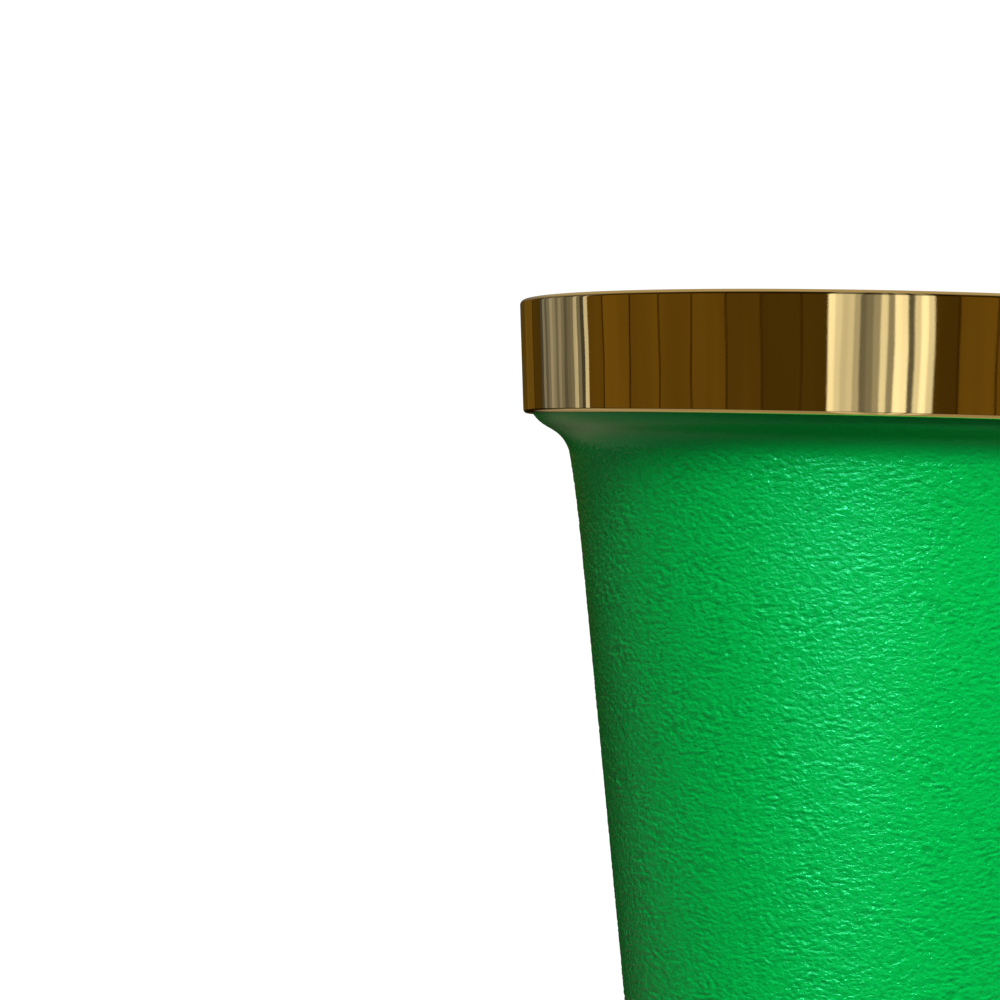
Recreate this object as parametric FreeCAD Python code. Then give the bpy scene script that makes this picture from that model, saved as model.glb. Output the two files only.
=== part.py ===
import FreeCAD, Part
import math
import os

# Florist bucket: a tapered moulded plastic bucket with a wide collar,
# and a bright metal band closed over its rim. Both are turned shapes.
# Millimetres. +Z is up, and the origin is the centre of the circle that the bucket stands on.
# A wall's lean is its slope in degrees, measured outward from straight up.

# Whole object
height = 300.0
mouth_diameter = 200.0
foot_diameter = 106.1

# Rim band
band_height = 31.2
band_thickness = 0.8
band_lean = 3.2
band_outer_edge_radius = 1.3
band_inner_edge_radius = 1.3
band_hem_radius = 1.1
band_skirt_depth = 10.0
fit_gap = 0.25

# Bucket shell, all of one thickness
shell_thickness = 3.0
wall_lean = 6.9
blend_radius = 386.0
blend_lean = 10.6
neck_radius = 10.0
shoulder_lean = 61.2
shoulder_radius = 10.6
shoulder_above_band_edge = 5.4
lip_edge_radius = 1.05

# Foot and underside
foot_edge_radius = 5.0
foot_flat_width = 3.0
foot_inner_edge_radius = 4.5
recess_depth = 4.0
recess_edge_radius = 3.0
recess_side_slope = 60.0
gate_radius = 4.0
gate_height = 1.0
gate_edge_radius = 0.4

UP = FreeCAD.Vector(0, 0, 1)
FLAT_OUTWARD = 90.0
FLAT_INWARD = -90.0


def sin(degrees):
    return math.sin(math.radians(degrees))


def cos(degrees):
    return math.cos(math.radians(degrees))


def tangent_length(radius, turn):
    """Distance from a sharp corner to where its rounding starts, for a corner that turns by this angle."""
    return radius * math.tan(math.radians(turn / 2))


def along(lean):
    """Unit vector along a path with this lean, in the XZ plane."""
    return FreeCAD.Vector(sin(lean), 0, cos(lean))


def inward(lean):
    """Unit vector square to that path, into the thickness of the wall."""
    return along(lean - 90)


def trace(start, lean, moves, depth=0.0):
    """Edges and end point of a path of straight runs and tangent bends, shifted inward by a depth.

    A move is ("run", length) or ("bend", radius, final lean), sized for the path at depth zero.
    """
    point = start + inward(lean) * depth
    edges = []
    for kind, size, *final_lean in moves:
        if kind == "run":
            end = point + along(lean) * size
            edges.append(Part.LineSegment(point, end).toShape())
        else:
            side = 1 if final_lean[0] < lean else -1
            to_centre = side * size - depth
            centre = point + inward(lean) * to_centre
            middle = centre - inward((lean + final_lean[0]) / 2) * to_centre
            end = centre - inward(final_lean[0]) * to_centre
            edges.append(Part.Arc(point, middle, end).toShape())
            lean = final_lean[0]
        point = end
    return edges, point


def turned_wall(start, lean, moves, thickness):
    """Solid of one thickness, turned about Z, whose outer surface follows the path."""
    outer, outer_end = trace(start, lean, moves)
    inner, inner_end = trace(start, lean, moves, thickness)
    closing = [
        Part.LineSegment(start, start + inward(lean) * thickness).toShape(),
        Part.LineSegment(outer_end, inner_end).toShape(),
    ]
    wire = Part.Wire(Part.sortEdges(outer + inner + closing)[0])
    return Part.Face(wire).revolve(FreeCAD.Vector(), UP, 360)


# The band's outer face, carried up to the top plane and down to the band's lower plane
band_top_corner = FreeCAD.Vector(mouth_diameter / 2, 0, height)
band_lower_corner = band_top_corner - along(band_lean) * (band_height / cos(band_lean))

# The collar lies inside the band, and its lip reaches up to the underside of the band's top
collar_depth = band_thickness + fit_gap
collar_foot = (
    band_lower_corner
    + inward(band_lean) * collar_depth
    + along(band_lean) * ((shoulder_above_band_edge - collar_depth * sin(band_lean)) / cos(band_lean))
)
lip_height = height - band_thickness
collar_run = (lip_height - shell_thickness * sin(band_lean) - collar_foot.z) / cos(band_lean)


def shoulder_surface_radius(z):
    """Radius of the shell's outer surface at a height on its rounded shoulder."""
    centre = collar_foot + inward(band_lean) * shoulder_radius
    return centre.x + math.sqrt(shoulder_radius**2 - (z - centre.z) ** 2)


def straight_run_lengths():
    """Lengths of the wall, from the foot's sharp corner, and of the slanted shoulder, that join foot to collar."""
    bends = (
        (blend_radius, wall_lean, blend_lean),
        (neck_radius, blend_lean, shoulder_lean),
        (shoulder_radius, band_lean, shoulder_lean),
    )
    outward = sum(radius * (cos(low) - cos(high)) for radius, low, high in bends)
    upward = sum(radius * (sin(high) - sin(low)) for radius, low, high in bends)
    missing_outward = collar_foot.x - foot_diameter / 2 - outward
    missing_upward = collar_foot.z - upward
    spread = sin(shoulder_lean - wall_lean)
    wall_length = (missing_upward * sin(shoulder_lean) - missing_outward * cos(shoulder_lean)) / spread
    shoulder_length = (missing_outward * cos(wall_lean) - missing_upward * sin(wall_lean)) / spread
    return wall_length, shoulder_length


def bucket_shell():
    """Floor with a recessed underside, foot ring, tapered wall, ogee shoulder and collar."""
    wall_length, shoulder_length = straight_run_lengths()
    edge_tangent = tangent_length(foot_edge_radius, FLAT_OUTWARD - wall_lean)
    flat_start = foot_diameter / 2 - edge_tangent - foot_flat_width
    recess_lean = FLAT_OUTWARD + recess_side_slope
    side_radii = recess_edge_radius + foot_inner_edge_radius
    side_run = (recess_depth - side_radii * (1 - cos(recess_side_slope))) / sin(recess_side_slope)
    side_width = side_radii * sin(recess_side_slope) + side_run * cos(recess_side_slope)
    moves = [
        ("run", flat_start - side_width),
        ("bend", recess_edge_radius, recess_lean),
        ("run", side_run),
        ("bend", foot_inner_edge_radius, FLAT_OUTWARD),
        ("run", foot_flat_width),
        ("bend", foot_edge_radius, wall_lean),
        ("run", wall_length - edge_tangent),
        ("bend", blend_radius, blend_lean),
        ("bend", neck_radius, shoulder_lean),
        ("run", shoulder_length),
        ("bend", shoulder_radius, band_lean),
        ("run", collar_run),
    ]
    floor_centre = FreeCAD.Vector(0, 0, recess_depth)
    shell = turned_wall(floor_centre, FLAT_OUTWARD, moves, shell_thickness)
    gate = Part.makeCylinder(gate_radius, gate_height + shell_thickness / 2, floor_centre - UP * gate_height)
    gate_rim = [edge for edge in gate.Edges if edge.BoundBox.ZMax < recess_depth - gate_height / 2]
    lip_edges = [edge for edge in shell.Edges if edge.BoundBox.ZMin > lip_height - shell_thickness / 2]
    rounded_shell = shell.makeFillet(lip_edge_radius, lip_edges)
    return rounded_shell.fuse(gate.makeFillet(gate_edge_radius, gate_rim)).removeSplitter().Solids[0]


def rim_band():
    """Channel over the collar: hem turned under the shoulder, outer face, rounded top, skirt inside the rim."""
    hem_tip = shoulder_surface_radius(band_lower_corner.z + band_thickness) + fit_gap
    hem_tangent = tangent_length(band_hem_radius, FLAT_OUTWARD - band_lean)
    outer_tangent = tangent_length(band_outer_edge_radius, band_lean - FLAT_INWARD)
    inner_tangent = tangent_length(band_inner_edge_radius, FLAT_OUTWARD - band_lean)
    face_length = band_height / cos(band_lean) - hem_tangent - outer_tangent
    rail_width = (2 * collar_depth + shell_thickness) / cos(band_lean)
    moves = [
        ("run", band_lower_corner.x - hem_tangent - hem_tip),
        ("bend", band_hem_radius, band_lean),
        ("run", face_length),
        ("bend", band_outer_edge_radius, FLAT_INWARD),
        ("run", rail_width - outer_tangent - inner_tangent),
        ("bend", band_inner_edge_radius, band_lean - 180),
        ("run", band_skirt_depth - inner_tangent),
    ]
    return turned_wall(FreeCAD.Vector(hem_tip, 0, band_lower_corner.z), FLAT_OUTWARD, moves, band_thickness)


PIECES = {
    "bucket_shell": bucket_shell,
    "rim_band": rim_band,
}

os.makedirs("parts", exist_ok=True)
for name, make in PIECES.items():
    make().exportStep(f"parts/{name}.step")
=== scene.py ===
import itertools
import math

import bpy
import numpy as np
from mathutils import Matrix, Vector


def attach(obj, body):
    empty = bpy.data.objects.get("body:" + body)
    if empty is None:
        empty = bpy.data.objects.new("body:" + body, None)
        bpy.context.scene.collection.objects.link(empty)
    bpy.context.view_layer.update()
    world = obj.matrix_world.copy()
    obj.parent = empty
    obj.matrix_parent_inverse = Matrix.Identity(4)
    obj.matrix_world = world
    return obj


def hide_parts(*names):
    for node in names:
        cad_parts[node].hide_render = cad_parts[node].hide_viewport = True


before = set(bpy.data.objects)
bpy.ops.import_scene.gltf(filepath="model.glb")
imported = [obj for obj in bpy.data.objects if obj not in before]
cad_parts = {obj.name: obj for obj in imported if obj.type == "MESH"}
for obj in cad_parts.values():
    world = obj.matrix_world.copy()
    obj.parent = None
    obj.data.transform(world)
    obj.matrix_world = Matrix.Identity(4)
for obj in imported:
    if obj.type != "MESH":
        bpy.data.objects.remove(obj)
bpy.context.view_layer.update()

# ---------------------------------------------------------------- dimensions
# Metres and degrees, the same driving dimensions as the CAD model.
# A wall's lean is its slope in degrees, measured outward from straight up.
MM = 0.001
HEIGHT = 300 * MM
BAND_HEIGHT = 31.2 * MM
MOUTH_RADIUS = 100 * MM
FOOT_RADIUS = 53.05 * MM

BAND_THICKNESS = 0.8 * MM
BAND_LEAN = 3.2
BAND_OUTER_EDGE_RADIUS = 1.3 * MM
BAND_INNER_EDGE_RADIUS = 1.3 * MM
BAND_HEM_RADIUS = 1.1 * MM
BAND_SKIRT_DEPTH = 10 * MM
FIT_GAP = 0.25 * MM

SHELL_THICKNESS = 3 * MM
WALL_LEAN = 6.9
BLEND_RADIUS = 386 * MM
BLEND_LEAN = 10.6
NECK_RADIUS = 10 * MM
SHOULDER_LEAN = 61.2
SHOULDER_RADIUS = 10.6 * MM
SHOULDER_ABOVE_BAND_EDGE = 5.4 * MM
LIP_EDGE_RADIUS = 1.05 * MM

FOOT_EDGE_RADIUS = 5 * MM
FOOT_FLAT_WIDTH = 3 * MM
FOOT_INNER_EDGE_RADIUS = 4.5 * MM
RECESS_DEPTH = 4 * MM
RECESS_EDGE_RADIUS = 3 * MM
RECESS_SIDE_SLOPE = 60
GATE_RADIUS = 4 * MM
GATE_HEIGHT = 1 * MM
GATE_EDGE_RADIUS = 0.4 * MM

# ---------------------------------------------------------------- mesh detail
COARSE_COLUMNS = 210
FINE_COLUMNS = 4 * COARSE_COLUMNS
BAND_COLUMNS = 360
FINE_STEP = 0.36 * MM
COARSE_STEP = 4 * MM
BAND_STEP = 1.5 * MM
BAND_EDGE_STEP = BAND_STEP / 4
BEND_STEP_DEGREES = 9
FLAT_OUTWARD = 90


def sin(degrees):
    return math.sin(math.radians(degrees))


def cos(degrees):
    return math.cos(math.radians(degrees))


def tangent_length(radius, turn):
    """Distance from a sharp corner to where its rounding starts, for a corner that turns by this angle."""
    return radius * math.tan(math.radians(turn / 2))


def along(lean):
    """Unit vector (outward, up) along a path with this lean."""
    return np.array([sin(lean), cos(lean)])


def inward(lean):
    """Unit vector square to that path, into the thickness of the wall."""
    return along(lean - 90)


def trace(start, lean, moves, depth=0.0):
    """Points and outward directions along a path of runs and tangent bends, shifted inward by a depth.

    A move is ("run", length, step) or ("bend", radius, final lean, step), sized for the path at depth zero.
    """
    point = np.array(start) + inward(lean) * depth
    points = [point]
    normals = [-inward(lean)]
    for kind, size, *rest in moves:
        if kind == "run":
            count = max(1, round(size / rest[0]))
            points += [point + along(lean) * size * i / count for i in range(1, count + 1)]
            normals += [-inward(lean)] * count
        else:
            final_lean, step = rest
            to_centre = (1 if final_lean < lean else -1) * size - depth
            centre = point + inward(lean) * to_centre
            turn = abs(final_lean - lean)
            count = max(1, math.ceil(turn / BEND_STEP_DEGREES), round(math.radians(turn) * size / step))
            leans = np.linspace(lean, final_lean, count + 1)[1:]
            points += [centre - inward(a) * to_centre for a in leans]
            normals += [-inward(a) for a in leans]
            lean = final_lean
        point = points[-1]
    return np.array(points), np.array(normals)


# ---------------------------------------------------------------- outlines, worked out as in the CAD model
band_top_corner = np.array([MOUTH_RADIUS, HEIGHT])
band_lower_corner = band_top_corner - along(BAND_LEAN) * (BAND_HEIGHT / cos(BAND_LEAN))
collar_depth = BAND_THICKNESS + FIT_GAP
collar_foot = (
    band_lower_corner
    + inward(BAND_LEAN) * collar_depth
    + along(BAND_LEAN) * ((SHOULDER_ABOVE_BAND_EDGE - collar_depth * sin(BAND_LEAN)) / cos(BAND_LEAN))
)
lip_height = HEIGHT - BAND_THICKNESS
collar_run = (lip_height - SHELL_THICKNESS * sin(BAND_LEAN) - collar_foot[1]) / cos(BAND_LEAN)


def shoulder_surface_radius(z):
    """Radius of the shell's outer surface at a height on its rounded shoulder."""
    centre = collar_foot + inward(BAND_LEAN) * SHOULDER_RADIUS
    return centre[0] + math.sqrt(SHOULDER_RADIUS**2 - (z - centre[1]) ** 2)


def straight_run_lengths():
    """Lengths of the wall, from the foot's sharp corner, and of the slanted shoulder up to the collar."""
    bends = (
        (BLEND_RADIUS, WALL_LEAN, BLEND_LEAN),
        (NECK_RADIUS, BLEND_LEAN, SHOULDER_LEAN),
        (SHOULDER_RADIUS, BAND_LEAN, SHOULDER_LEAN),
    )
    outward = collar_foot[0] - FOOT_RADIUS - sum(r * (cos(low) - cos(high)) for r, low, high in bends)
    upward = collar_foot[1] - sum(r * (sin(high) - sin(low)) for r, low, high in bends)
    spread = sin(SHOULDER_LEAN - WALL_LEAN)
    wall_length = (upward * sin(SHOULDER_LEAN) - outward * cos(SHOULDER_LEAN)) / spread
    shoulder_length = (outward * cos(WALL_LEAN) - upward * sin(WALL_LEAN)) / spread
    return wall_length, shoulder_length


def shell_outline():
    """Outlines of the shell from the underside's centre, up the outside, over the lip and down the inside.

    Returns three stretches of points: underside, grained outside, and the rest with the inside.
    """
    wall_length, shoulder_length = straight_run_lengths()
    edge_tangent = tangent_length(FOOT_EDGE_RADIUS, FLAT_OUTWARD - WALL_LEAN)
    flat_start = FOOT_RADIUS - edge_tangent - FOOT_FLAT_WIDTH
    recess_lean = FLAT_OUTWARD + RECESS_SIDE_SLOPE
    side_radii = RECESS_EDGE_RADIUS + FOOT_INNER_EDGE_RADIUS
    side_run = (RECESS_DEPTH - side_radii * (1 - cos(RECESS_SIDE_SLOPE))) / sin(RECESS_SIDE_SLOPE)
    side_width = side_radii * sin(RECESS_SIDE_SLOPE) + side_run * cos(RECESS_SIDE_SLOPE)
    floor_radius = flat_start - side_width

    def floor_moves(first_run):
        return [
            ("run", first_run, COARSE_STEP),
            ("bend", RECESS_EDGE_RADIUS, recess_lean, COARSE_STEP),
            ("run", side_run, COARSE_STEP),
            ("bend", FOOT_INNER_EDGE_RADIUS, FLAT_OUTWARD, COARSE_STEP),
            ("run", FOOT_FLAT_WIDTH, COARSE_STEP),
        ]

    def wall_moves(step, end_run):
        return [
            ("bend", FOOT_EDGE_RADIUS, WALL_LEAN, step),
            ("run", wall_length - edge_tangent, step),
            ("bend", BLEND_RADIUS, BLEND_LEAN, step),
            ("bend", NECK_RADIUS, SHOULDER_LEAN, step),
            ("run", shoulder_length, step),
            ("bend", SHOULDER_RADIUS, BAND_LEAN, step),
            ("run", end_run, COARSE_STEP),
        ]

    gate_moves = [
        ("run", GATE_RADIUS - GATE_EDGE_RADIUS, COARSE_STEP),
        ("bend", GATE_EDGE_RADIUS, 0, COARSE_STEP),
        ("run", GATE_HEIGHT - GATE_EDGE_RADIUS, COARSE_STEP),
    ]
    gate, _ = trace((0, RECESS_DEPTH - GATE_HEIGHT), FLAT_OUTWARD, gate_moves)
    underside, _ = trace(gate[-1], FLAT_OUTWARD, floor_moves(floor_radius - GATE_RADIUS))
    outside, _ = trace(underside[-1], FLAT_OUTWARD, wall_moves(FINE_STEP, collar_run - LIP_EDGE_RADIUS))
    lip_moves = [
        ("bend", LIP_EDGE_RADIUS, BAND_LEAN - 90, COARSE_STEP),
        ("run", SHELL_THICKNESS - 2 * LIP_EDGE_RADIUS, COARSE_STEP),
        ("bend", LIP_EDGE_RADIUS, BAND_LEAN - 180, COARSE_STEP),
    ]
    lip, _ = trace(outside[-1], BAND_LEAN, lip_moves)
    inside_moves = floor_moves(floor_radius) + wall_moves(COARSE_STEP, collar_run - LIP_EDGE_RADIUS)
    inside, _ = trace((0, RECESS_DEPTH), FLAT_OUTWARD, inside_moves, SHELL_THICKNESS)
    return np.vstack([gate, underside[1:]]), outside[1:], np.vstack([lip[1:], inside[::-1][1:]])


def band_outline():
    """Closed outline of the band, with its outward directions: hem, face, rounded top, skirt and back."""
    hem_tip = shoulder_surface_radius(band_lower_corner[1] + BAND_THICKNESS) + FIT_GAP
    hem_tangent = tangent_length(BAND_HEM_RADIUS, FLAT_OUTWARD - BAND_LEAN)
    outer_tangent = tangent_length(BAND_OUTER_EDGE_RADIUS, FLAT_OUTWARD + BAND_LEAN)
    inner_tangent = tangent_length(BAND_INNER_EDGE_RADIUS, FLAT_OUTWARD - BAND_LEAN)
    rail_width = (2 * collar_depth + SHELL_THICKNESS) / cos(BAND_LEAN)
    moves = [
        ("run", band_lower_corner[0] - hem_tangent - hem_tip, BAND_STEP),
        ("bend", BAND_HEM_RADIUS, BAND_LEAN, BAND_EDGE_STEP),
        ("run", BAND_HEIGHT / cos(BAND_LEAN) - hem_tangent - outer_tangent, BAND_STEP),
        ("bend", BAND_OUTER_EDGE_RADIUS, -90, BAND_EDGE_STEP),
        ("run", rail_width - outer_tangent - inner_tangent, BAND_STEP),
        ("bend", BAND_INNER_EDGE_RADIUS, BAND_LEAN - 180, BAND_EDGE_STEP),
        ("run", BAND_SKIRT_DEPTH - inner_tangent, BAND_STEP),
    ]
    start = (hem_tip, band_lower_corner[1])
    face, face_normals = trace(start, FLAT_OUTWARD, moves)
    back, back_normals = trace(start, FLAT_OUTWARD, moves, BAND_THICKNESS)
    return np.vstack([face, back[::-1]]), np.vstack([face_normals, -back_normals[::-1]])


# ---------------------------------------------------------------- leather grain
NOISE_SLOPES = 1024
NOISE_GAIN = 1.6


class Noise:
    """Seeded gradient noise, about -1 to 1, that changes over one unit of length."""

    def __init__(self, seed):
        draw = np.random.default_rng(seed)
        self.order = draw.permutation(NOISE_SLOPES)
        slopes = draw.normal(size=(NOISE_SLOPES, 3))
        self.slopes = slopes / np.linalg.norm(slopes, axis=1, keepdims=True)

    def __call__(self, points):
        cell = np.floor(points).astype(int)
        part = points - cell
        fade = part**3 * (part * (part * 6 - 15) + 10)
        total = np.zeros(len(points))
        for corner in itertools.product((0, 1), repeat=3):
            key = 0
            for axis in range(3):
                key = self.order[(key + cell[:, axis] + corner[axis]) % NOISE_SLOPES]
            weight = np.where(corner, fade, 1 - fade).prod(axis=1)
            total += weight * ((part - corner) * self.slopes[key]).sum(axis=1)
        return total * NOISE_GAIN


def smooth_step(value, low, high):
    """0 below the low limit, 1 above the high one, and a smooth rise between them."""
    part = np.clip((value - low) / (high - low), 0, 1)
    return part * part * (3 - 2 * part)


# Lengths without MM are in millimetres, and three of them are along X, Y and Z.
GRAIN_HEIGHT = 0.16 * MM
GRAIN_FADES_BELOW = (4 * MM, 12 * MM)
GRAIN_FADES_ABOVE = (HEIGHT - BAND_HEIGHT - 12 * MM, HEIGHT - BAND_HEIGHT - 6 * MM)
GRAIN_LEFT_IN_NECK = 0.12
GRAIN_NOISES = 11
DRIFT_LENGTH = 14
DRIFT_REACH = (3, 3, 1.8)
WOBBLE_LENGTH = 3
WOBBLE_REACH = (0.7, 0.7, 0.4)
CREASE_LENGTHS = (2.1, 2.1, 0.92)
CREASE_SHARE = 0.8
SMALL_CREASE_LENGTHS = (1.3, 1.3, 0.62)
SMALL_CREASE_SHARE = 0.5
UPRIGHT_LENGTHS = (1.1, 1.1, 1.7)
UPRIGHT_SHARE = 0.9
UPRIGHT_DRIFT = 2
UPRIGHT_WOBBLE = 0.6
PATCH_LENGTHS = (10, 10, 8)
PATCH_EDGE = (0.1, 0.5)
DEPTH_LENGTH = 9
MEAN_DEPTH = 0.85
DEPTH_CHANGE = 0.5
CREASE_STEEPNESS = 2.2


def grain(points):
    """Relief of the leather grain, from about -1 in its creases to 1 on its ridges, at points in metres.

    Most of it is bent creases that run round the bucket. In patches they give way to upright ones.
    """
    noise = [Noise(seed) for seed in range(GRAIN_NOISES)]
    place = points / MM
    drift = np.stack([noise[i](place / DRIFT_LENGTH + i) for i in range(3)], axis=1)
    wobble = np.stack([noise[i](place / WOBBLE_LENGTH + i) for i in range(3, 6)], axis=1)
    bent = place + drift * DRIFT_REACH + wobble * WOBBLE_REACH
    creases = noise[6](bent / CREASE_LENGTHS) * CREASE_SHARE
    small_creases = noise[7](bent / SMALL_CREASE_LENGTHS) * SMALL_CREASE_SHARE
    upright_place = place + drift * UPRIGHT_DRIFT + wobble * UPRIGHT_WOBBLE
    upright = noise[8](upright_place / UPRIGHT_LENGTHS) * UPRIGHT_SHARE
    patches = smooth_step(noise[9](place / PATCH_LENGTHS), *PATCH_EDGE)
    depth = MEAN_DEPTH + DEPTH_CHANGE * noise[10](place / DEPTH_LENGTH)
    level = (creases + small_creases) * (1 - patches) + upright * patches
    return np.tanh(level * CREASE_STEEPNESS) * depth


def grain_strength(z):
    """Share of the grain's height that is left at a height: little in the neck, none at the foot's edge."""
    low = smooth_step(z, *GRAIN_FADES_BELOW)
    high = 1 - (1 - GRAIN_LEFT_IN_NECK) * smooth_step(z, *GRAIN_FADES_ABOVE)
    return low * high


# ---------------------------------------------------------------- meshes of turned shapes
def ring(radius, z, columns):
    """Vertices evenly round a circle about Z."""
    turn = np.arange(columns) * (2 * math.pi / columns)
    return np.stack([radius * np.cos(turn), radius * np.sin(turn), np.full(columns, z)], axis=1)


def strip_faces(first, columns, next_first, next_columns):
    """Faces between two rings of vertices. One may have several times as many columns as the other."""
    faces = []
    fewer = min(columns, next_columns)
    share, next_share = columns // fewer, next_columns // fewer
    for i in range(fewer):
        lower = [first + (i * share + j) % columns for j in range(share + 1)]
        upper = [next_first + (i * next_share + j) % next_columns for j in range(next_share + 1)]
        faces.append(lower + upper[::-1])
    return faces


def turned_mesh(name, stretches, closed):
    """Mesh turned about Z from stretches of outline, each (points, columns).

    A closed outline joins its end to its start; an open one starts and ends on the axis.
    """
    rings = [(r, z, columns) for points, columns in stretches for r, z in points]
    poles = [] if closed else [rings[0], rings[-1]]
    rings = rings if closed else rings[1:-1]
    vertices = np.vstack([ring(*item) for item in rings] + [[(0, 0, z)] for _, z, _ in poles])
    starts = np.cumsum([0] + [columns for _, _, columns in rings])
    faces = []
    count = len(rings)
    for i in range(count if closed else count - 1):
        j = (i + 1) % count
        faces += strip_faces(int(starts[i]), rings[i][2], int(starts[j]), rings[j][2])
    if poles:
        first, last = int(starts[-1]), int(starts[-1]) + 1
        columns = rings[0][2]
        faces += [[first, (i + 1) % columns, i] for i in range(columns)]
        base, columns = int(starts[-2]), rings[-1][2]
        faces += [[last, base + i, base + (i + 1) % columns] for i in range(columns)]
    mesh = bpy.data.meshes.new(name)
    mesh.from_pydata(vertices.tolist(), [], faces)
    mesh.shade_smooth()
    return mesh


def new_piece(name, mesh, material, node):
    """Object of the one body, root, that stands for a CAD node."""
    piece = bpy.data.objects.new(name, mesh)
    bpy.context.scene.collection.objects.link(piece)
    mesh.materials.append(material)
    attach(piece, "root")
    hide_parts(node)
    return piece


def vertex_array(mesh):
    """Places of a mesh's vertices, one row each."""
    places = np.empty(len(mesh.vertices) * 3, np.float32)
    mesh.vertices.foreach_get("co", places)
    return places.reshape(-1, 3).astype(float)


def make_bucket(material):
    """Shell whose outside is pushed in and out by the grain. The material reads the relief from the mesh."""
    underside, outside, rest = shell_outline()
    stretches = [(underside, COARSE_COLUMNS), (outside, FINE_COLUMNS), (rest, COARSE_COLUMNS)]
    mesh = turned_mesh("bucket_shell_grained", stretches, closed=False)
    places = vertex_array(mesh)
    first = (len(underside) - 1) * COARSE_COLUMNS
    grained = slice(first, first + len(outside) * FINE_COLUMNS)
    skin = places[grained]
    relief = grain(skin) * grain_strength(skin[:, 2])
    outward = skin * (1, 1, 0) / np.linalg.norm(skin[:, :2], axis=1, keepdims=True)
    places[grained] = skin + outward * (relief * GRAIN_HEIGHT)[:, None]
    mesh.vertices.foreach_set("co", places.astype(np.float32).ravel())
    for name, values in (("relief", relief), ("grained", grain_strength(skin[:, 2]))):
        whole = np.zeros(len(places), np.float32)
        whole[grained] = values
        mesh.attributes.new(name, "FLOAT", "POINT").data.foreach_set("value", whole)
    mesh.update()
    return new_piece("bucket_shell_grained", mesh, material, "bucket_shell")


def make_band(material):
    """Band with the exact directions of its outline as normals, so that it mirrors cleanly."""
    outline, normals = band_outline()
    mesh = turned_mesh("rim_band_polished", [(outline, BAND_COLUMNS)], closed=True)
    turn = np.arange(BAND_COLUMNS) * (2 * math.pi / BAND_COLUMNS)
    vertex_normals = [
        (out * math.cos(a), out * math.sin(a), up) for out, up in normals for a in turn
    ]
    mesh.normals_split_custom_set_from_vertices(vertex_normals)
    return new_piece("rim_band_polished", mesh, material, "rim_band")


# ---------------------------------------------------------------- node helpers
def new_material(name):
    material = bpy.data.materials.new(name)
    material.use_nodes = True
    tree = material.node_tree
    tree.nodes.clear()
    output = tree.nodes.new("ShaderNodeOutputMaterial")
    shader = tree.nodes.new("ShaderNodeBsdfPrincipled")
    tree.links.new(shader.outputs["BSDF"], output.inputs["Surface"])
    return material, tree, shader


def add(tree, kind, inputs=None, **settings):
    """Adds a node, with settings on the node and values or links on its inputs."""
    node = tree.nodes.new("ShaderNode" + kind)
    for name, value in settings.items():
        setattr(node, name, value)
    for name, value in (inputs or {}).items():
        if isinstance(value, bpy.types.NodeSocket):
            tree.links.new(value, node.inputs[name])
        else:
            node.inputs[name].default_value = value
    return node


def calculate(tree, operation, *values):
    return add(tree, "Math", dict(enumerate(values)), operation=operation).outputs[0]


def scaled(tree, colour, share):
    return add(tree, "VectorMath", {"Vector": colour, "Scale": share}, operation="SCALE").outputs[0]


def stretched(tree, place, scale):
    return add(tree, "Mapping", {"Vector": place, "Scale": scale}).outputs["Vector"]


def noise_value(tree, place, scale, detail=2.0, roughness=0.5, distortion=0.0):
    """Noise from 0 to 1. Its scale is in repeats for each unit of length."""
    shape = {"Scale": scale, "Detail": detail, "Roughness": roughness, "Distortion": distortion}
    return add(tree, "TexNoise", {"Vector": place, **shape}).outputs["Fac"]


def remap(tree, value, low, high, to_low, to_high):
    inputs = {"Value": value, "From Min": low, "From Max": high, "To Min": to_low, "To Max": to_high}
    return add(tree, "MapRange", inputs).outputs["Result"]


def mix_colours(tree, share, first, second):
    node = add(tree, "Mix", {0: share, 6: first, 7: second}, data_type="RGBA")
    return node.outputs[2]


def bumpy(tree, height, strength, distance):
    return add(tree, "Bump", {"Height": height, "Strength": strength, "Distance": distance})


# ---------------------------------------------------------------- materials
# Scales of noise are in repeats for each metre.
GREEN_DEEP = (0.0, 0.45, 0.062, 1)
GREEN_PALE = (0.001, 0.51, 0.080, 1)
# Painted shade: a darker green for the grain's creases, standing in for the shade in its hollows.
GREEN_PAINTED_CREASE_SHADE = (0.0, 0.26, 0.030, 1)
GREEN_TONE_SCALE = 25
# How much of the painted crease shade is mixed in at the deepest creases.
CREASE_PAINTED_SHADE_SHARE = 0.6
CREASE_ROUGHNESS = 0.29
RIDGE_ROUGHNESS = 0.155
SMUDGE_SCALE = 60
SMUDGE_EDGE = (0.3, 0.7)
SMUDGE_ROUGHNESS = (-0.03, 0.04)
WRINKLE_STRETCH = (0.75, 0.75, 1.0)
WRINKLE_SCALE = 1200
WRINKLE_DETAIL = 2.2
WRINKLE_DISTORTION = 0.3
WRINKLE_HEIGHT = 0.36 * MM
PIT_SCALE = 2200
PIT_STRENGTH = 0.8
PIT_HEIGHT = 0.05 * MM
PLASTIC_IOR = 1.49
PLASTIC_SPECULAR = 0.3
PLASTIC_SPECULAR_TINT = (0.15, 1.0, 0.7, 1)

GOLD_DEEP = (1.0, 0.74, 0.31, 1)
GOLD_PALE = (1.0, 0.78, 0.36, 1)
GOLD_TONE_SCALE = 18
WIPE_STRETCH = (1, 1, 9)
WIPE_SCALE = 90
WIPE_DETAIL = 5
WIPE_NOISE_ROUGHNESS = 0.6
WIPE_EDGE = (0.35, 0.75)
GOLD_ROUGHNESS = (0.012, 0.04)
WAVE_SCALE = 22
WAVE_HEIGHT = 0.06 * MM
SCRATCH_STRETCH = (1, 1, 40)
SCRATCH_SCALE = 500
SCRATCH_STRENGTH = 0.06
SCRATCH_HEIGHT = 0.01 * MM


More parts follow.
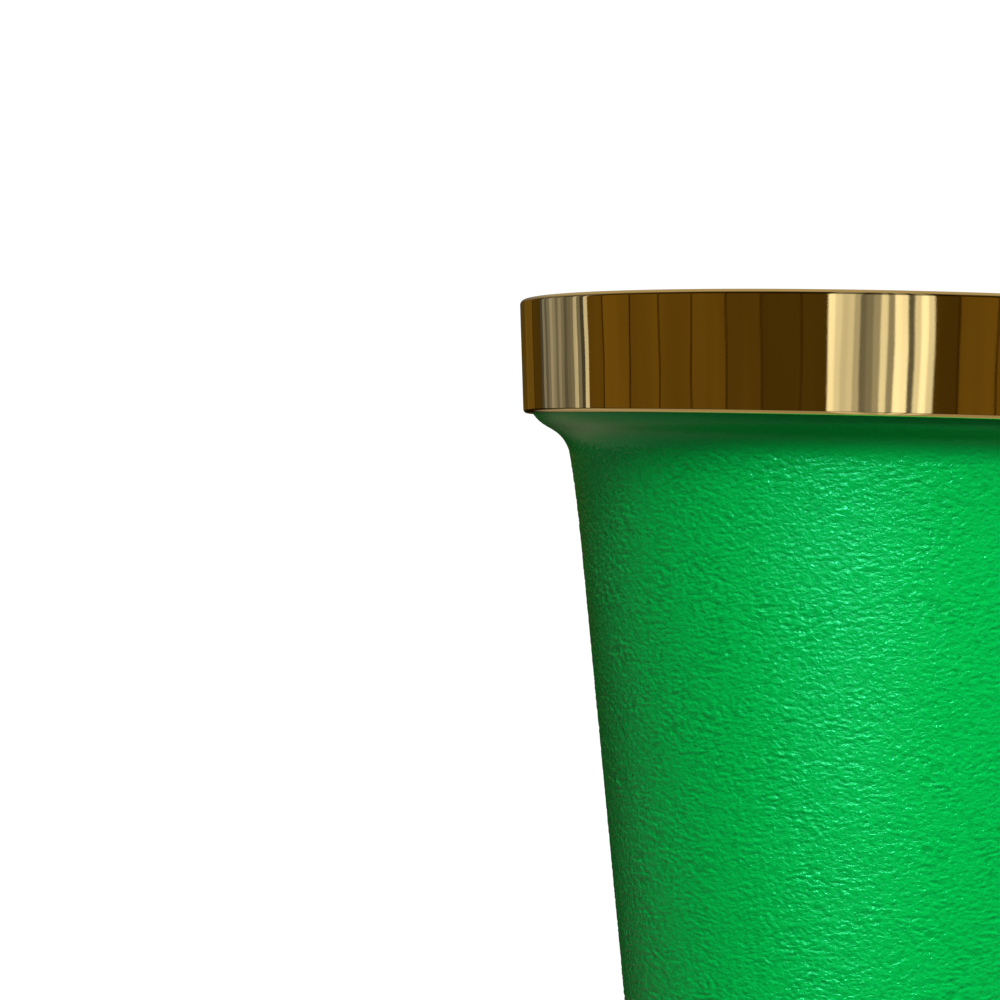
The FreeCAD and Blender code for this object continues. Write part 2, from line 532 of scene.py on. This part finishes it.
def green_plastic():
    """Semi-matte moulded plastic: creases darkened with painted shade, ridges shinier, and fine wrinkles and
    pits.
    """
    material, tree, shader = new_material("green_plastic")
    place = add(tree, "TexCoord").outputs["Object"]
    relief = add(tree, "Attribute", attribute_name="relief").outputs["Fac"]
    grained = add(tree, "Attribute", attribute_name="grained").outputs["Fac"]
    tone = noise_value(tree, place, GREEN_TONE_SCALE, 3)
    base = mix_colours(tree, tone, GREEN_DEEP, GREEN_PALE)
    # Painted shade: the base colour darkens towards the crease green in the grain's hollows, as shade would.
    painted_crease_shade = remap(tree, relief, -1.0, 0.0, CREASE_PAINTED_SHADE_SHARE, 0.0)
    tree.links.new(mix_colours(tree, painted_crease_shade, base, GREEN_PAINTED_CREASE_SHADE), shader.inputs["Base Color"])
    smudge = remap(tree, noise_value(tree, place, SMUDGE_SCALE, 3), *SMUDGE_EDGE, *SMUDGE_ROUGHNESS)
    ridge = remap(tree, relief, -1.0, 1.0, CREASE_ROUGHNESS, RIDGE_ROUGHNESS)
    tree.links.new(calculate(tree, "ADD", ridge, smudge), shader.inputs["Roughness"])
    wrinkle_place = stretched(tree, place, WRINKLE_STRETCH)
    wrinkles = noise_value(
        tree, wrinkle_place, WRINKLE_SCALE, WRINKLE_DETAIL, distortion=WRINKLE_DISTORTION
    )
    wrinkled = bumpy(tree, calculate(tree, "MULTIPLY", wrinkles, grained), 1.0, WRINKLE_HEIGHT)
    pitted = bumpy(tree, noise_value(tree, place, PIT_SCALE, 1), PIT_STRENGTH, PIT_HEIGHT)
    tree.links.new(wrinkled.outputs["Normal"], pitted.inputs["Normal"])
    tree.links.new(pitted.outputs["Normal"], shader.inputs["Normal"])
    shader.inputs["IOR"].default_value = PLASTIC_IOR
    shader.inputs["Specular IOR Level"].default_value = PLASTIC_SPECULAR
    shader.inputs["Specular Tint"].default_value = PLASTIC_SPECULAR_TINT
    return material


def gold_metal():
    """Mirror-polished gold: faint waviness, wipe marks and hairline scratches."""
    material, tree, shader = new_material("gold_metal")
    place = add(tree, "TexCoord").outputs["Object"]
    shader.inputs["Metallic"].default_value = 1.0
    tone = noise_value(tree, place, GOLD_TONE_SCALE, 3)
    tree.links.new(mix_colours(tree, tone, GOLD_DEEP, GOLD_PALE), shader.inputs["Base Color"])
    wipe_place = stretched(tree, place, WIPE_STRETCH)
    wiped = noise_value(tree, wipe_place, WIPE_SCALE, WIPE_DETAIL, WIPE_NOISE_ROUGHNESS)
    tree.links.new(remap(tree, wiped, *WIPE_EDGE, *GOLD_ROUGHNESS), shader.inputs["Roughness"])
    scratches = noise_value(tree, stretched(tree, place, SCRATCH_STRETCH), SCRATCH_SCALE, 2)
    wavy = bumpy(tree, noise_value(tree, place, WAVE_SCALE, 1), 1.0, WAVE_HEIGHT)
    fine = bumpy(tree, scratches, SCRATCH_STRENGTH, SCRATCH_HEIGHT)
    tree.links.new(wavy.outputs["Normal"], fine.inputs["Normal"])
    tree.links.new(fine.outputs["Normal"], shader.inputs["Normal"])
    return material


# ---------------------------------------------------------------- floor
FLOOR_RADIUS = 2.4
FLOOR_SIDES = 96
FLOOR_DIM = (0.80, 0.80, 0.80, 1)
FLOOR_PALE = (0.84, 0.84, 0.84, 1)
FLOOR_TONE_SCALE = 6
FLOOR_ROUGHNESS = 0.8


def floor_material():
    material, tree, shader = new_material("studio_floor")
    place = add(tree, "TexCoord").outputs["Object"]
    tone = noise_value(tree, place, FLOOR_TONE_SCALE, 4)
    tree.links.new(mix_colours(tree, tone, FLOOR_DIM, FLOOR_PALE), shader.inputs["Base Color"])
    shader.inputs["Roughness"].default_value = FLOOR_ROUGHNESS
    return material


def make_floor():
    """Pale floor that sends no light back onto the bucket and doesn't show in its gloss."""
    bpy.ops.mesh.primitive_circle_add(
        vertices=FLOOR_SIDES, radius=FLOOR_RADIUS, fill_type="NGON", location=(0, 0, 0)
    )
    floor = bpy.context.object
    floor.name = "studio_floor"
    floor.data.materials.append(floor_material())
    floor.visible_diffuse = False
    floor.visible_glossy = False
    return floor


# ---------------------------------------------------------------- surroundings
# What the polished surfaces mirror: a round studio of warm panels, all of one width, with equally spaced
# tall windows of equal panes, the brightest behind the camera. A random number, the same in each run, sets
# how light each panel and pane is. Angles are in degrees round from the camera's side towards +X.
# A direction's rise is the Z of its unit vector, and its retreat is the Y, from -1 behind the camera to 1
# opposite it.
PANEL_WIDTH = 12
SEAM_WIDTH = 0.6
PANEL_DIM = (0.05, 0.03, 0.004, 1)
PANEL_LIT = (0.14, 0.08, 0.01, 1)
SEAM_COLOUR = (0.03, 0.015, 0.002, 1)
WINDOW_PITCH = 120
WINDOW_WIDTH = 32
PANE_WIDTH = 2
PANE_DIM = (0.1, 0.1, 0.1, 1)
PANE_LIT = (1.2, 1.2, 1.2, 1)
FAR_SIDE_BRIGHTNESS = 0.2
RIPPLE = 0.02
RIPPLE_STRETCH = (6, 6, 30)
# The walls' lower part is in shade, up to an edge that is higher on the far side.
SHADE_EDGE = (-0.13, -0.065)
SHADE_EDGE_TILT = -0.045
SHADE_BRIGHTNESS = 0.1
UPPER_WALL_EDGE = (0.08, 0.22)
UPPER_WALL_BRIGHTNESS = 0.25
CLOUD_SCALE = 5
CLOUD_EDGE = (0.25, 0.75)
CLOUD_BRIGHTNESS = (0.8, 1.25)
# A pale floor and a pale ceiling take over from the walls. The ceiling reaches lower on the far side.
FLOOR_EDGE = (-0.22, -0.36)
FLOOR_GLOW = (0.5, 0.43, 0.32, 1)
FLOOR_GLOW_SHARE = 0.55
CEILING_EDGE = (0.45, 0.75)
CEILING_TILT = 0.4
CEILING_GLOW = (0.4, 0.35, 0.26, 1)
# Light that the matt parts receive from all round, and the background that the camera sees.
SOFT_COLOUR = (0.9, 0.95, 1.0, 1)
SOFT_STRENGTH = 0.075
BACKDROP_COLOUR = (1, 1, 1, 1)
BACKDROP_STRENGTH = 1.05


def repeats(tree, angle, pitch):
    """Number of the repeat that an angle falls in, and how far through it the angle is, from 0 to 1."""
    count = calculate(tree, "DIVIDE", angle, pitch)
    return calculate(tree, "FLOOR", count), calculate(tree, "FRACT", count)


def random_tone(tree, number, dim, lit):
    """A colour between two, always the same for the same number."""
    chance = add(tree, "TexWhiteNoise", {"W": number}, noise_dimensions="1D").outputs["Value"]
    return mix_colours(tree, chance, dim, lit)


def mirrored_angle(tree, way, parts):
    """Angle of a direction round from the camera's side, with a slight ripple."""
    backward = calculate(tree, "MULTIPLY", parts["Y"], -1.0)
    turn = calculate(tree, "ARCTAN2", parts["X"], backward)
    waves = noise_value(tree, stretched(tree, way, RIPPLE_STRETCH), 1, 2)
    ripple = remap(tree, waves, 0.0, 1.0, -RIPPLE, RIPPLE)
    return calculate(tree, "DEGREES", calculate(tree, "ADD", turn, ripple))


def mirrored_walls(tree, angle, retreat):
    """Colour of the panels, their seams and the windows."""
    panel, through_panel = repeats(tree, angle, PANEL_WIDTH)
    in_seam = calculate(tree, "GREATER_THAN", through_panel, 1 - SEAM_WIDTH / PANEL_WIDTH)
    panels = mix_colours(tree, in_seam, random_tone(tree, panel, PANEL_DIM, PANEL_LIT), SEAM_COLOUR)
    half_pitch_on = calculate(tree, "ADD", angle, WINDOW_PITCH / 2)
    _, through_pitch = repeats(tree, half_pitch_on, WINDOW_PITCH)
    window_reach = WINDOW_WIDTH / WINDOW_PITCH / 2
    in_window = calculate(tree, "COMPARE", through_pitch, 0.5, window_reach)
    pane, _ = repeats(tree, angle, PANE_WIDTH)
    nearness = remap(tree, retreat, -1.0, 1.0, 1.0, FAR_SIDE_BRIGHTNESS)
    windows = scaled(tree, random_tone(tree, pane, PANE_DIM, PANE_LIT), nearness)
    return mix_colours(tree, in_window, panels, windows)


def mirrored_room(tree):
    """Colour of the whole surroundings: walls between a floor and a ceiling."""
    way = add(tree, "TexCoord").outputs["Generated"]
    parts = add(tree, "SeparateXYZ", {"Vector": way}).outputs
    retreat, rise = parts["Y"], parts["Z"]
    walls = mirrored_walls(tree, mirrored_angle(tree, way, parts), retreat)
    tilted_rise = calculate(tree, "MULTIPLY_ADD", retreat, SHADE_EDGE_TILT, rise)
    lower = remap(tree, tilted_rise, *SHADE_EDGE, SHADE_BRIGHTNESS, 1.0)
    upper = remap(tree, rise, *UPPER_WALL_EDGE, 1.0, UPPER_WALL_BRIGHTNESS)
    clouds = remap(tree, noise_value(tree, way, CLOUD_SCALE, 3), *CLOUD_EDGE, *CLOUD_BRIGHTNESS)
    brightness = calculate(tree, "MULTIPLY", calculate(tree, "MULTIPLY", lower, upper), clouds)
    floor_share = remap(tree, rise, *FLOOR_EDGE, 0.0, 1.0)
    floor_colour = mix_colours(tree, FLOOR_GLOW_SHARE, walls, FLOOR_GLOW)
    ceiling_rise = calculate(tree, "MULTIPLY_ADD", retreat, CEILING_TILT, rise)
    ceiling_share = remap(tree, ceiling_rise, *CEILING_EDGE, 0.0, 1.0)
    walls_and_floor = mix_colours(tree, floor_share, scaled(tree, walls, brightness), floor_colour)
    return mix_colours(tree, ceiling_share, walls_and_floor, CEILING_GLOW)


def make_world():
    """Surroundings for mirrored light, soft dim light for matt surfaces, and white for the camera."""
    world = bpy.data.worlds.new("studio")
    bpy.context.scene.world = world
    world.use_nodes = True
    tree = world.node_tree
    tree.nodes.clear()
    light = add(tree, "LightPath").outputs
    room = add(tree, "Background", {"Color": mirrored_room(tree), "Strength": 1.0})
    soft = add(tree, "Background", {"Color": SOFT_COLOUR, "Strength": SOFT_STRENGTH})
    white = add(tree, "Background", {"Color": BACKDROP_COLOUR, "Strength": BACKDROP_STRENGTH})
    lit = add(tree, "MixShader", {0: light["Is Glossy Ray"], 1: soft.outputs[0], 2: room.outputs[0]})
    seen = add(tree, "MixShader", {0: light["Is Camera Ray"], 1: lit.outputs[0], 2: white.outputs[0]})
    add(tree, "OutputWorld", {"Surface": seen.outputs[0]})
    world.cycles.sampling_method = "NONE"


# ---------------------------------------------------------------- lights
# Name, azimuth and elevation in degrees, distance and size in metres, power in watts, and colour.
# Azimuth 0 is the camera's side and 90 is +X.
SOFT_LIGHTS = [
    ("key_light", 15, 35, 3.0, (1.0, 1.0), 99, (1.0, 0.99, 0.96)),
    ("ceiling_light", 15, 64, 2.2, (1.6, 1.6), 30, (1.0, 1.0, 0.98)),
    ("fill_light", -65, 10, 1.5, (1.0, 1.0), 2.4, (0.95, 1.0, 1.0)),
    ("back_light", 190, 38, 1.5, (0.6, 0.6), 22, (1.0, 0.99, 0.97)),
]
GLINT_LIGHTS = [
    ("glint_light", -8, 15, 1.4, (1.1, 0.09), 40, (0.85, 1.0, 1.0)),
    ("glint_back_light", 165, 15, 1.4, (1.1, 0.09), 30, (0.85, 1.0, 1.0)),
]
LIGHTS_AIM = (0, 0, HEIGHT * 0.6)
FLOOR_LIGHT_STRENGTH = 4.1
FLOOR_LIGHT_ANGLE = 100


def light_only(light, objects):
    """Lets a light shine on these objects alone. Every object still casts its shadow from it."""
    lit = bpy.data.collections.new(light.name + "_lights")
    for obj in objects:
        lit.objects.link(obj)
    light.light_linking.receiver_collection = lit


def make_light(name, azimuth, elevation, distance, size, power, colour):
    """Rectangular soft light aimed at the bucket's middle."""
    away = Vector((sin(azimuth) * cos(elevation), -cos(azimuth) * cos(elevation), sin(elevation)))
    data = bpy.data.lights.new(name, "AREA")
    data.shape = "RECTANGLE"
    data.size, data.size_y = size
    data.energy = power
    data.color = colour
    light = bpy.data.objects.new(name, data)
    light.location = Vector(LIGHTS_AIM) + away * distance
    light.rotation_euler = away.to_track_quat("Z", "Y").to_euler()
    bpy.context.scene.collection.objects.link(light)
    return light


def make_floor_light(floor):
    """Very soft light from above that keeps the whole floor near white, with a shadow by the foot."""
    data = bpy.data.lights.new("floor_light", "SUN")
    data.energy = FLOOR_LIGHT_STRENGTH
    data.angle = math.radians(FLOOR_LIGHT_ANGLE)
    light = bpy.data.objects.new("floor_light", data)
    bpy.context.scene.collection.objects.link(light)
    light_only(light, [floor])


def make_lights(bucket, band):
    """Soft lights that don't show in gloss, and glint lights that show only in the plastic's gloss."""
    for settings in SOFT_LIGHTS:
        light = make_light(*settings)
        light.visible_glossy = False
        light_only(light, [bucket, band])
    for settings in GLINT_LIGHTS:
        light = make_light(*settings)
        light.visible_diffuse = False
        light_only(light, [bucket])


# ---------------------------------------------------------------- camera
CAMERA_DISTANCE = 924.7 * MM
CAMERA_HEIGHT = 255.4 * MM
CAMERA_YAW = 6.464
CAMERA_PITCH = -0.675
CAMERA_ROLL = 1.454
SENSOR_WIDTHS_OF_FOCAL_LENGTH = 3.32
SENSOR_WIDTH = 36.0
NEAR_CLIP = 0.01


def make_camera():
    """Camera in front of the bucket, a little below its rim, aimed to the left of its axis."""
    level_reach = cos(CAMERA_PITCH)
    forward = Vector((-sin(CAMERA_YAW) * level_reach, cos(CAMERA_YAW) * level_reach, sin(CAMERA_PITCH)))
    level = Vector((cos(CAMERA_YAW), sin(CAMERA_YAW), 0))
    upright = level.cross(forward)
    right = level * cos(CAMERA_ROLL) + upright * sin(CAMERA_ROLL)
    up = upright * cos(CAMERA_ROLL) - level * sin(CAMERA_ROLL)
    data = bpy.data.cameras.new("camera")
    data.sensor_width = SENSOR_WIDTH
    data.lens = SENSOR_WIDTHS_OF_FOCAL_LENGTH * SENSOR_WIDTH
    data.clip_start = NEAR_CLIP
    camera = bpy.data.objects.new("camera", data)
    turn = Matrix((right, up, -forward)).transposed()
    camera.matrix_world = Matrix.Translation((0, -CAMERA_DISTANCE, CAMERA_HEIGHT)) @ turn.to_4x4()
    bpy.context.scene.collection.objects.link(camera)
    bpy.context.scene.camera = camera


make_camera()
bucket = make_bucket(green_plastic())
band = make_band(gold_metal())
floor = make_floor()
make_world()
make_floor_light(floor)
make_lights(bucket, band)
bpy.context.scene.view_settings.view_transform = "Standard"
